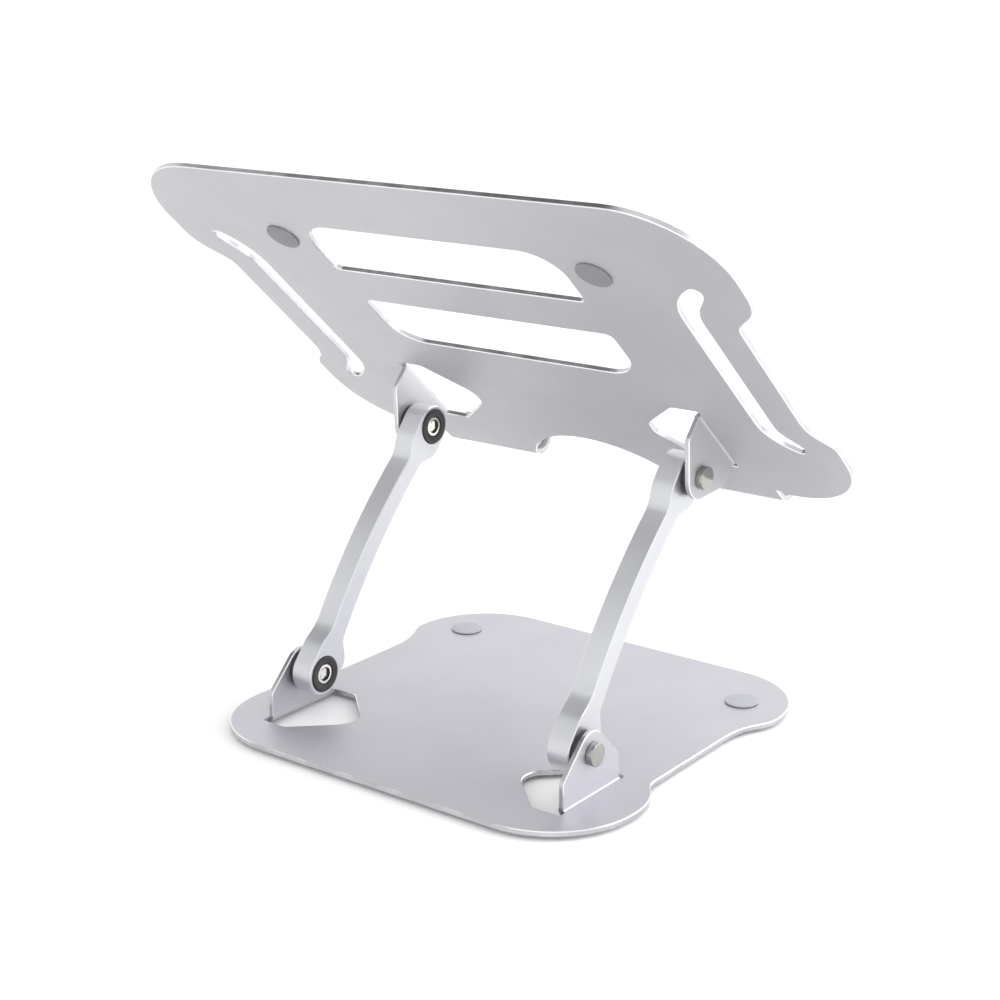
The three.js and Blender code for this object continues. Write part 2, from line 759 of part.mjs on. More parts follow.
function armGroup(side) {
  const name = sideName(side);
  const group = new THREE.Group();
  const [lean, rise] = [Math.cos(armLean), Math.sin(armLean)];
  let made = armSolid();
  if (side > 0) made = made.mirror([0, 0, 1]);
  const geometry = piece("arm", made, FINISH.arm).geometry;
  reframe(geometry, new THREE.Vector3(0, -lean, rise), new THREE.Vector3(0, rise, lean));
  geometry.translate(side * armInner, lowerPivot.y, lowerPivot.z);
  group.add(piece(`arm_${name}`, solid(geometry), FINISH.arm));
  for (const [place, pivot] of [["lower", lowerPivot], ["upper", upperPivot]]) {
    const bush = solid(atPivot(bushSolid(), side, pivot));
    group.add(piece(`bushing_${place}_${name}`, bush, FINISH.bushing));
  }
  return group;
}

/** The platform and all it carries, built face up in its own frame, then turned over onto the arms. */
function platformGroup() {
  const group = new THREE.Group();
  const pivot = { y: platformPivot, z: EAR.pivotHeight };
  group.add(piece("platform_plate", platformSolid(), FINISH.anodised));
  for (const side of [-1, 1]) {
    const name = sideName(-side);
    group.add(...earHardware(`upper_${name}`, side, pivot));
    const pad = roundPad(PAD.radius, PAD.height).translate(side * PAD.x, -PAD.fromPlatformRear, SEAT_GAP);
    group.add(piece(`platform_pad_${name}`, solid(pad), FINISH.greyRubber));
    for (const [end, x, y] of gripPlaces) {
      const grip = strip(GRIP.length, GRIP.width, GRIP.height);
      grip.translate(side * x, y, -SHEET - SEAT_GAP - GRIP.height);
      group.add(piece(`grip_strip_${end}_${name}`, solid(grip), FINISH.greyRubber));
    }
    const liner = solid(linerSolid());
    group.add(piece(`hook_liner_${name}`, side < 0 ? mirrorSolid(liner) : liner, FINISH.greyRubber));
  }
  const tilt = radians(POSE.tilt);
  const up = new THREE.Vector3(0, Math.cos(tilt), Math.sin(tilt));
  const out = new THREE.Vector3(0, Math.sin(tilt), -Math.cos(tilt));
  const matrix = new THREE.Matrix4().makeBasis(alongX.clone().negate(), up, out);
  const held = new THREE.Vector3(0, pivot.y, pivot.z).applyMatrix4(matrix);
  matrix.setPosition(0, upperPivot.y - held.y, upperPivot.z - held.z);
  group.applyMatrix4(matrix);
  return group;
}

const stand = new THREE.Group();
stand.name = "laptop_stand";
stand.add(baseGroup(), armGroup(-1), armGroup(1), platformGroup());

export default stand;
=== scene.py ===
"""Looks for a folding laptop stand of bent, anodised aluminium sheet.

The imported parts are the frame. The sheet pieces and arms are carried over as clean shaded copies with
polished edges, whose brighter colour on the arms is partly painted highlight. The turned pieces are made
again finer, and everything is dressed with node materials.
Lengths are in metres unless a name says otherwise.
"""

from __future__ import annotations

import json
import logging
import math
from collections.abc import Callable, Iterable, Sequence
from dataclasses import dataclass, field
from enum import Enum

import bmesh
import bpy
from mathutils import Matrix, Vector

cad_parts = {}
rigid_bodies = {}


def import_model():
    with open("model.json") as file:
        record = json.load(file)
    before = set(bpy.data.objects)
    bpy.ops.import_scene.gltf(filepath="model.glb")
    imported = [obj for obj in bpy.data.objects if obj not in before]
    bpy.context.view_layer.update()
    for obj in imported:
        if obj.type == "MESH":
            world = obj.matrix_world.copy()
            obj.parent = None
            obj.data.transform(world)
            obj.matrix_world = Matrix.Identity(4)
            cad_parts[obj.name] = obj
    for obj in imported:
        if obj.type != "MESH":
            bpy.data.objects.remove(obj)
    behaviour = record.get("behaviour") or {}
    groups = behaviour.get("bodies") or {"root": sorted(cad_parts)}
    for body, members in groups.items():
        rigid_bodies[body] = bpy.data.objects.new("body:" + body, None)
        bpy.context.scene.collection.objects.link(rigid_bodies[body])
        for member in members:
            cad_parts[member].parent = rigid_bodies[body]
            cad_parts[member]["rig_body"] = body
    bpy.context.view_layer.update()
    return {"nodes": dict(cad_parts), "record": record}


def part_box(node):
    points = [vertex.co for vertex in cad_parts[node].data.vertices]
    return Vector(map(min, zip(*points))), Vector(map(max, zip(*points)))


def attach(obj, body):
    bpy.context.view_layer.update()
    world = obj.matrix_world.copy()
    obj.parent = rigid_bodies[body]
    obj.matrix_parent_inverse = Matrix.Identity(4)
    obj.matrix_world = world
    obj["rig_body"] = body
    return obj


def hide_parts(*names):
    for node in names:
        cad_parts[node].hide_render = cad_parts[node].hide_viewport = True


LOG = logging.getLogger("laptop_stand")
MM = 0.001
NOISE_SPAN = (0.3, 0.7)  # where nearly all of a noise's values lie
WELD = 0.002 * MM  # corners closer than this are one corner
BREAK_SLANT = (0.6, 0.8)  # how far the normal of a 45 degree break leans towards the face beside it


# ---------- names ----------


class Side(Enum):
    """A side of the stand, as the user at the front sees it."""

    LEFT = -1
    RIGHT = 1

    @property
    def word(self) -> str:
        """The word that node names use."""
        return self.name.lower()


class Slot(Enum):
    """The record's material slots, one named for each kind of piece made here; no slot is set from them."""

    SHEET = "anodised_sheet"
    ARM = "anodised_arm"
    NICKEL = "nickel"
    NYLON = "black_nylon"
    RUBBER = "grey_rubber"


class Pivot(Enum):
    """The two pivot lines, as node names call them."""

    LOWER = "lower"
    UPPER = "upper"


# ---------- shader building ----------


class Signal:
    """A node socket that can be used in arithmetic; each operator adds a Math node."""

    def __init__(self, graph: Graph, socket: bpy.types.NodeSocket) -> None:
        """Wraps an output socket.

        Args:
            graph: the node tree being built.
            socket: the output to wrap.
        """
        self.graph = graph
        self.socket = socket

    def _math(self, operation: str, a: Signal | float, b: Signal | float) -> Signal:
        """The result of one Math node."""
        return self.graph.node("ShaderNodeMath", {"operation": operation}, {0: a, 1: b})

    def __add__(self, other: Signal | float) -> Signal:
        """self + other."""
        return self._math("ADD", self, other)

    def __radd__(self, other: float) -> Signal:
        """other + self."""
        return self._math("ADD", other, self)

    def __mul__(self, other: Signal | float) -> Signal:
        """self * other."""
        return self._math("MULTIPLY", self, other)

    def __rmul__(self, other: float) -> Signal:
        """other * self."""
        return self._math("MULTIPLY", other, self)

    def sine(self) -> Signal:
        """The sine of this value."""
        return self._math("SINE", self, 0.0)


Value = Signal | float | tuple[float, ...]
Sockets = dict[str | int, Value]
Colour = tuple[float, float, float]


class Graph:
    """A node tree under construction."""

    def __init__(self, tree: bpy.types.NodeTree) -> None:
        """Takes over a node tree.

        Args:
            tree: the tree to build in.
        """
        self.tree = tree

    def node(self, kind: str, settings: dict[str, object], inputs: Sockets, output: str | int = 0) -> Signal:
        """Adds any node.

        Args:
            kind: the node's type name.
            settings: node settings, set before the sockets.
            inputs: socket name or number to a value or a Signal.
            output: which output to hand back.

        Returns:
            The chosen output.
        """
        made = self.tree.nodes.new(kind)
        for key, value in settings.items():
            setattr(made, key, value)
        for key, value in inputs.items():
            self.feed(made.inputs[key], value)
        return Signal(self, made.outputs[output])

    def feed(self, socket: bpy.types.NodeSocket, value: Value) -> None:
        """Links a Signal to a socket, or sets a plain value on it.

        Args:
            socket: the input to feed.
            value: a Signal, a number or a colour; a colour without alpha gets full alpha.
        """
        if isinstance(value, Signal):
            self.tree.links.new(value.socket, socket)
        elif isinstance(value, tuple) and len(value) == 3 and len(socket.default_value) == 4:
            socket.default_value = (*value, 1.0)
        else:
            socket.default_value = value

    def rescale(self, value: Signal, source: tuple[float, float], target: tuple[float, float]) -> Signal:
        """Moves a value from one range to another with soft ends, and stops it there.

        Args:
            value: the value to move.
            source: the range it comes from.
            target: the range it goes to.

        Returns:
            The moved value.
        """
        inputs: Sockets = {"Value": value}
        for name, (low, high) in (("From", source), ("To", target)):
            inputs[f"{name} Min"] = low
            inputs[f"{name} Max"] = high
        settings = {"clamp": True, "interpolation_type": "SMOOTHSTEP"}
        return self.node("ShaderNodeMapRange", settings, inputs, "Result")


class Paint(Graph):
    """A node material under construction, with one Principled shader."""

    def __init__(self, name: str) -> None:
        """Starts an empty material.

        Args:
            name: the material's name.
        """
        self.material = bpy.data.materials.new(name)
        self.material.use_nodes = True
        super().__init__(self.material.node_tree)
        self.shader = self.tree.nodes["Principled BSDF"]

    def set(self, **values: Value) -> None:
        """Sets or links the Principled shader's sockets; an underscore in a name stands for a space."""
        for key, value in values.items():
            self.feed(self.shader.inputs[key.replace("_", " ")], value)

    def place(self) -> Signal:
        """The point on the piece in its own coordinates."""
        return self.node("ShaderNodeTexCoord", {}, {}, "Object")

    def noise(self, place: Signal, grain: float, detail: float = 2.0, roughness: float = 0.5) -> Signal:
        """Smooth noise.

        Args:
            place: the point to look up.
            grain: size of one blot, in metres.
            detail: octaves of finer noise.
            roughness: how strong the finer noise is.

        Returns:
            A value round 0.5.
        """
        inputs: Sockets = {"Vector": place, "Scale": 1.0 / grain, "Detail": detail, "Roughness": roughness}
        return self.node("ShaderNodeTexNoise", {"noise_dimensions": "3D"}, inputs, "Fac")

    def cells(self, place: Signal, grain: float) -> Signal:
        """Distance to the nearest of many scattered points, for pits and pores.

        Args:
            place: the point to look up.
            grain: typical spacing of the points, in metres.

        Returns:
            A value from 0 at a point to about 1 between points.
        """
        inputs: Sockets = {"Vector": place, "Scale": 1.0 / grain}
        return self.node("ShaderNodeTexVoronoi", {"feature": "F1"}, inputs, "Distance")

    def spread(self, value: Signal, low: float, high: float) -> Signal:
        """Moves noise that lies round 0.5 to the range from low to high."""
        return self.rescale(value, NOISE_SPAN, (low, high))

    def mix(self, factor: Value, a: Value, b: Value) -> Signal:
        """A blend of two colours."""
        inputs: Sockets = {"Factor": factor, 6: a, 7: b}
        return self.node("ShaderNodeMix", {"data_type": "RGBA"}, inputs, 2)

    def bump(self, height: Signal, depth: float) -> Signal:
        """A normal from a height of 0 to 1, where 1 stands for a depth in metres."""
        inputs: Sockets = {"Height": height, "Distance": depth, "Strength": 1.0}
        return self.node("ShaderNodeBump", {}, inputs, "Normal")


# ---------- finishes ----------


@dataclass(frozen=True)
class BlastedAluminium:
    """Bead-blasted, anodised aluminium: a fine even grain with a faint cloudiness."""

    name: str
    light: Colour
    dark: Colour
    roughness: float
    grain: float = 0.30 * MM
    depth: float = 0.006 * MM
    metal: float = 0.8
    cloud_size: float = 45 * MM
    cloud_share: float = 0.65
    rub_size: float = 9 * MM
    rub_swing: float = 0.035

    def build(self) -> bpy.types.Material:
        """Makes the finish.

        Returns:
            The material.
        """
        paint = Paint(self.name)
        place = paint.place()
        fine = paint.noise(place, self.grain, detail=3.0, roughness=0.6)
        cloud = paint.noise(place, self.cloud_size)
        tone = paint.spread(cloud * self.cloud_share + fine * (1 - self.cloud_share), 0.0, 1.0)
        rub = paint.noise(place, self.rub_size) * 0.5 + fine * 0.5
        paint.set(
            Base_Color=paint.mix(tone, self.dark, self.light),
            Metallic=self.metal,
            Roughness=paint.spread(rub, self.roughness - self.rub_swing, self.roughness + self.rub_swing),
            Normal=paint.bump(fine, self.depth),
        )
        return paint.material


@dataclass(frozen=True)
class CutEdge:
    """The cut edge of a sheet: brighter than its faces, with fine cutter marks."""

    name: str
    colour: Colour
    worn: Colour
    roughness: float
    chatter_size: float = 0.5 * MM
    chatter_depth: float = 0.001 * MM
    handling_size: float = 14 * MM
    smoother: float = 0.05
    rougher: float = 0.08

    def build(self) -> bpy.types.Material:
        """Makes the finish.

        Returns:
            The material.
        """
        paint = Paint(self.name)
        place = paint.place()
        chatter = paint.noise(place, self.chatter_size)
        handling = paint.noise(place, self.handling_size, detail=3.0)
        paint.set(
            Base_Color=paint.mix(paint.spread(handling, 0.0, 1.0), self.worn, self.colour),
            Metallic=1.0,
            Roughness=paint.spread(handling, self.roughness - self.smoother, self.roughness + self.rougher),
            Normal=paint.bump(chatter, self.chatter_depth),
        )
        return paint.material


@dataclass(frozen=True)
class TurnedMetal:
    """Turned and plated metal: fine rings round the X axis of the piece, under a bright skin."""

    name: str
    colour: Colour
    shade: Colour
    roughness: float
    pitch: float = 0.22 * MM
    depth: float = 0.0016 * MM
    patch_size: float = 1.6 * MM
    smoother: float = 0.04
    rougher: float = 0.06

    def build(self) -> bpy.types.Material:
        """Makes the finish.

        Returns:
            The material.
        """
        paint = Paint(self.name)
        place = paint.place()
        flatten = {"operation": "MULTIPLY"}
        across = paint.node("ShaderNodeVectorMath", flatten, {0: place, 1: (0.0, 1.0, 1.0)})
        radius = paint.node("ShaderNodeVectorMath", {"operation": "LENGTH"}, {0: across}, "Value")
        rings = (radius * (2 * math.pi / self.pitch)).sine() * 0.5 + 0.5
        patch = paint.noise(place, self.patch_size, detail=3.0)
        paint.set(
            Base_Color=paint.mix(paint.spread(patch, 0.0, 1.0), self.shade, self.colour),
            Metallic=1.0,
            Roughness=paint.spread(patch, self.roughness - self.smoother, self.roughness + self.rougher),
            Normal=paint.bump(rings, self.depth),
        )
        return paint.material


@dataclass(frozen=True)
class Moulded:
    """Moulded nylon or rubber: a matt skin with a fine spark-eroded grain and light handling marks."""

    name: str
    light: Colour
    dark: Colour
    roughness: float
    grain: float = 0.22 * MM
    depth: float = 0.02 * MM
    bloom_size: float = 4 * MM
    bloom_share: float = 0.7
    bloom_swing: float = 0.06

    def build(self) -> bpy.types.Material:
        """Makes the finish.

        Returns:
            The material.
        """
        paint = Paint(self.name)
        place = paint.place()
        grain = paint.cells(place, self.grain)
        bloom = paint.noise(place, self.bloom_size, detail=3.0)
        tone = paint.spread(bloom * self.bloom_share + grain * (1 - self.bloom_share), 0.0, 1.0)
        smoothest, roughest = self.roughness - self.bloom_swing, self.roughness + self.bloom_swing
        paint.set(
            Base_Color=paint.mix(tone, self.dark, self.light),
            Metallic=0.0,
            Roughness=paint.spread(bloom, smoothest, roughest),
            Normal=paint.bump(grain, self.depth),
        )
        return paint.material


@dataclass
class Finishes:
    """Every finish on the stand, built once."""

    sheet: bpy.types.Material = field(init=False)
    base: bpy.types.Material = field(init=False)
    arm: bpy.types.Material = field(init=False)
    arm_edge: bpy.types.Material = field(init=False)
    edge: bpy.types.Material = field(init=False)
    wall: bpy.types.Material = field(init=False)
    nickel: bpy.types.Material = field(init=False)
    screw: bpy.types.Material = field(init=False)
    socket: bpy.types.Material = field(init=False)
    spring: bpy.types.Material = field(init=False)
    nylon: bpy.types.Material = field(init=False)
    bush: bpy.types.Material = field(init=False)
    rubber: bpy.types.Material = field(init=False)
    shaded_rubber: bpy.types.Material = field(init=False)

    def __post_init__(self) -> None:
        """Builds the materials."""
        arm_grain = 0.42 * MM
        self.sheet = BlastedAluminium(
            "blasted_platform", (0.5, 0.5, 0.516), (0.47, 0.47, 0.487), 0.5, metal=0.6
        ).build()
        self.base = BlastedAluminium(
            "blasted_base", (0.54, 0.535, 0.572), (0.51, 0.505, 0.542), 0.45
        ).build()
        self.arm = BlastedAluminium(
            "blasted_arm", (0.6, 0.607, 0.632), (0.545, 0.552, 0.58), 0.36, arm_grain, 0.014 * MM
        ).build()
        # The chamfers take a smoother break of the arm finish. Their brighter colour is partly painted
        # highlight.
        self.arm_edge = BlastedAluminium(
            "blasted_arm_edge", (0.7, 0.705, 0.725), (0.64, 0.645, 0.665), 0.3, arm_grain, 0.008 * MM
        ).build()
        self.edge = CutEdge("cut_break", (0.86, 0.86, 0.88), (0.76, 0.76, 0.78), 0.22).build()
        self.wall = CutEdge("cut_wall", (0.56, 0.56, 0.58), (0.48, 0.48, 0.5), 0.24).build()
        # The pin and the screw share one nickel plating. The pin's colour is painted darker (painted shade),
        # and the screw's is painted brighter (painted highlight on its head's ring).
        self.nickel = TurnedMetal("pin_nickel", (0.395, 0.385, 0.367), (0.36, 0.35, 0.335), 0.14).build()
        self.screw = TurnedMetal("screw_nickel", (0.8, 0.78, 0.73), (0.68, 0.66, 0.61), 0.16).build()
        # Painted shade: the near-black colour stands for the shade down in the hexagon socket.
        self.socket = TurnedMetal("broached_socket", (0.07, 0.068, 0.065), (0.03, 0.03, 0.03), 0.35).build()
        self.spring = TurnedMetal("spring_steel", (0.5, 0.5, 0.5), (0.4, 0.4, 0.41), 0.3).build()
        self.nylon = Moulded("black_nylon", (0.022, 0.022, 0.021), (0.012, 0.012, 0.012), 0.42).build()
        self.bush = Moulded("natural_plastic", (0.66, 0.63, 0.55), (0.58, 0.55, 0.47), 0.4).build()
        self.rubber = Moulded("grey_rubber", (0.4, 0.4, 0.465), (0.39, 0.39, 0.415), 0.62).build()
        # Painted shade: a darker copy of the grey rubber for the platform pads and the desk feet, which face
        # down.
        self.shaded_rubber = Moulded(
            "dark_grey_rubber", (0.215, 0.213, 0.228), (0.185, 0.183, 0.198), 0.62
        ).build()


# ---------- mesh building ----------


def shaded_mesh(
    name: str,
    points: Sequence[Vector],
    faces: Sequence[Sequence[int]],
    materials: Sequence[bpy.types.Material],
    crease: float = 28.0,
) -> bpy.types.Mesh:
    """A mesh with soft shading that breaks at real corners.

    Args:
        name: the mesh's name.
        points: its vertices.
        faces: its faces, as vertex numbers.
        materials: its material slots.
        crease: the angle in degrees over which an edge stays sharp.

    Returns:
        The mesh.
    """
    mesh = bpy.data.meshes.new(name)
    mesh.from_pydata([tuple(p) for p in points], [], [tuple(f) for f in faces])
    for material in materials:
        mesh.materials.append(material)
    mesh.polygons.foreach_set("use_smooth", [True] * len(mesh.polygons))
    mesh.set_sharp_from_angle(angle=math.radians(crease))
    mesh.validate()
    return mesh


def linked(name: str, mesh: bpy.types.Mesh, body: str, slot: Slot, *nodes: str) -> bpy.types.Object:
    """Puts a mesh in the scene as a piece that stands for CAD nodes.

    Args:
        name: the piece's name.
        mesh: its mesh.
        body: the body it rides on.
        slot: the record's material slot it belongs to; not used.
        nodes: the CAD nodes it stands for.

    Returns:
        The piece.
    """
    made = bpy.data.objects.new(name, mesh)
    bpy.context.scene.collection.objects.link(made)
    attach(made, body)
    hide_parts(*nodes)
    return made


def welded_copy(node: bpy.types.Object) -> bmesh.types.BMesh:
    """A CAD node's surface with its split corners welded together again.

    Args:
        node: the CAD node.

    Returns:
        The surface, for the caller to free.
    """
    surface = bmesh.new()
    surface.from_mesh(node.data)
    bmesh.ops.remove_doubles(surface, verts=surface.verts, dist=WELD)
    surface.normal_update()
    return surface


Finder = Callable[[bmesh.types.BMFace], int]


@dataclass
class CarriedPiece:
    """A piece whose shape is the frame's own: shaded softly, with a finish for each kind of face."""

    node: bpy.types.Object
    slot: Slot
    materials: tuple[bpy.types.Material, ...]
    finder: Finder

    def build(self) -> bpy.types.Object:
        """Makes the piece.

        Returns:
            The piece, standing for its node.
        """
        surface = welded_copy(self.node)
        points = [v.co.copy() for v in surface.verts]
        faces = [[v.index for v in f.verts] for f in surface.faces]
        marks = [self.finder(f) for f in surface.faces]
        surface.free()
        name = f"{self.node.name}_skin"
        mesh = shaded_mesh(name, points, faces, self.materials)
        mesh.polygons.foreach_set("material_index", marks)
        return linked(name, mesh, self.node["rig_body"], self.slot, self.node.name)


def narrowness(face: bmesh.types.BMFace) -> float:
    """Roughly how wide a face is across its narrow way, in metres."""
    return 2 * face.calc_area() / face.calc_perimeter()


@dataclass(frozen=True)
class SheetZones:
    """Tells a bent sheet's faces (0) from the breaks along its cut edges (1) and the cut walls (2).

    The flat of the sheet faces up, through face_point. What stands higher than flat_slack is an ear, whose
    faces look along X. A break is narrower than break_width, and a cut wall narrower than wall_width.
    """

    up: Vector
    face_point: Vector
    thickness: float = 2.4 * MM
    break_width: float = 0.42 * MM
    wall_width: float = 1.9 * MM
    flat_slack: float = 0.3 * MM
    bend_height: float = 1.1 * MM
    bend_ends: float = 0.3
    bend: tuple[float, float] = (76.4 * MM, 81.3 * MM)
    upright: float = 0.1

    def __call__(self, face: bmesh.types.BMFace) -> int:
        """Finds a face's zone.

        Args:
            face: a face of the sheet.

        Returns:
            The zone's number.
        """
        centre = face.calc_center_median()
        height = (centre - self.face_point).dot(self.up)
        across = Vector((1, 0, 0))
        along = abs(face.normal.dot(self.up.cross(across)))
        near_bend = self.bend[0] < abs(centre.x) < self.bend[1] and height < self.bend_height
        if near_bend and along < self.bend_ends:
            return 0
        slant = abs(face.normal.dot(across if height > self.flat_slack else self.up))
        if slant < self.upright and height > -self.thickness and narrowness(face) < self.wall_width:
            return 2
        return int(BREAK_SLANT[0] < slant < BREAK_SLANT[1] and narrowness(face) < self.break_width)


def arm_zones(face: bmesh.types.BMFace) -> int:
    """Tells the chamfers along an arm's long edges (1) from the rest (0)."""
    return int(BREAK_SLANT[0] < abs(face.normal.x) < BREAK_SLANT[1])


def one_zone(face: bmesh.types.BMFace) -> int:
    """For pieces that are one finish all over."""
    return 0


@dataclass(frozen=True)
class Row:
    """One row of a turned profile, at a distance along the axis. A hexagon's radius is that of its flats."""

    along: float
    radius: float
    hexagon: bool = False

    def reach(self, turn: float) -> float:
        """How far the row reaches from the axis.

        Args:
            turn: the turn round the axis, in radians.

        Returns:
            The distance from the axis at that turn.
        """
        if not self.hexagon:
            return self.radius
        sixth = math.pi / 3
        return self.radius / math.cos((turn + sixth / 2) % sixth - sixth / 2)


Profile = list[Row]


def soft_corner(before: Row, corner: Row, after: Row, size: float, steps: int = 3) -> Profile:
    """A rounded corner of a profile.

    Args:
        before: the row before the corner.
        corner: the sharp corner.
        after: the row after it.
        size: how far from the corner the curve starts and ends.
        steps: straight runs in the curve.

    Returns:
        The rows of the curve.
    """
    here = Vector((corner.along, corner.radius))
    start = here + (Vector((before.along, before.radius)) - here).normalized() * size
    end = here + (Vector((after.along, after.radius)) - here).normalized() * size
    found = []
    for i in range(steps + 1):
        t = i / steps
        point = start * (1 - t) ** 2 + here * (2 * t * (1 - t)) + end * t**2
        found.append(Row(point.x, point.y))
    return found


def softened(rows: Profile, sizes: dict[int, float]) -> Profile:
    """A profile with some of its corners rounded.

    Args:
        rows: the profile with sharp corners.
        sizes: corner number to the size of its rounding.

    Returns:
        The rounded profile.
    """
    found: Profile = []
    for i, row in enumerate(rows):
        if i in sizes:
            found.extend(soft_corner(rows[i - 1], row, rows[(i + 1) % len(rows)], sizes[i]))
        else:
            found.append(row)
    return found


@dataclass
class Turned:
    """A turned piece on its own X axis, closed on the axis or on itself.

    The bands between rows whose numbers are in marks take the second material.
    """

    rows: Profile
    marks: Sequence[int] = ()
    sides: int = 72

    def mesh(self, name: str, materials: Sequence[bpy.types.Material]) -> bpy.types.Mesh:
        """Turns the profile.

        Args:
            name: the mesh's name.
            materials: its finishes.

        Returns:
            The mesh, its faces looking outwards.
        """
        points: list[Vector] = []
        loops = [self._loop(row, points) for row in self.rows]
        open_ended = self.rows[0].radius == 0
        following = loops[1:] if open_ended else loops[1:] + loops[:1]
        bands = [self._band(low, high) for low, high in zip(loops, following)]
        mesh = shaded_mesh(name, points, [face for band in bands for face in band], materials)
        marks = [int(i in self.marks) for i, band in enumerate(bands) for _ in band]
        mesh.polygons.foreach_set("material_index", marks)
        surface = bmesh.new()
        surface.from_mesh(mesh)
        bmesh.ops.recalc_face_normals(surface, faces=surface.faces)
        surface.to_mesh(mesh)
        surface.free()
        return mesh

    def _loop(self, row: Row, points: list[Vector]) -> list[int]:
        """Adds one row's points.

        Args:
            row: the row; on the axis it is a single point.
            points: the piece's points, which are added to.

        Returns:
            The numbers of the new points.
        """
        first = len(points)
        if row.radius == 0:
            points.append(Vector((row.along, 0, 0)))
            return [first]
        for i in range(self.sides):
            turn = 2 * math.pi * i / self.sides
            reach = row.reach(turn)
            points.append(Vector((row.along, reach * math.cos(turn), reach * math.sin(turn))))
        return list(range(first, len(points)))

    def _band(self, low: list[int], high: list[int]) -> list[list[int]]:
        """Joins two neighbouring rows.

        Args:
            low: the point numbers of one row.
            high: those of the next row.

        Returns:
            The faces between them.
        """
        n = self.sides
        if len(low) == 1:
            return [[low[0], high[i], high[(i + 1) % n]] for i in range(n)]
        if len(high) == 1:
            return [[low[i], high[0], low[(i + 1) % n]] for i in range(n)]
        return [[low[i], high[i], high[(i + 1) % n], low[(i + 1) % n]] for i in range(n)]


def turned_piece(
    node: bpy.types.Object,
    axis: Vector,
    slot: Slot,
    turned: Turned,
    *materials: bpy.types.Material,
) -> bpy.types.Object:
    """Makes a turned piece in the place of a CAD node.

    Args:
        node: the CAD node, whose middle is the middle of the piece's axis line.
        axis: the way the profile runs, which is measured from the node's middle.
        slot: the record's material slot.
        turned: the shape.
        materials: its finishes.

    Returns:
        The piece.
    """
    name = f"{node.name}_turned"
    made = linked(name, turned.mesh(name, materials), node["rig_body"], slot, node.name)
    low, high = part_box(node.name)
    turn = axis.to_track_quat("X", "Z").to_matrix().to_4x4()
    made.matrix_world = Matrix.Translation((low + high) / 2) @ turn
    return made


# ---------- sub-assemblies ----------


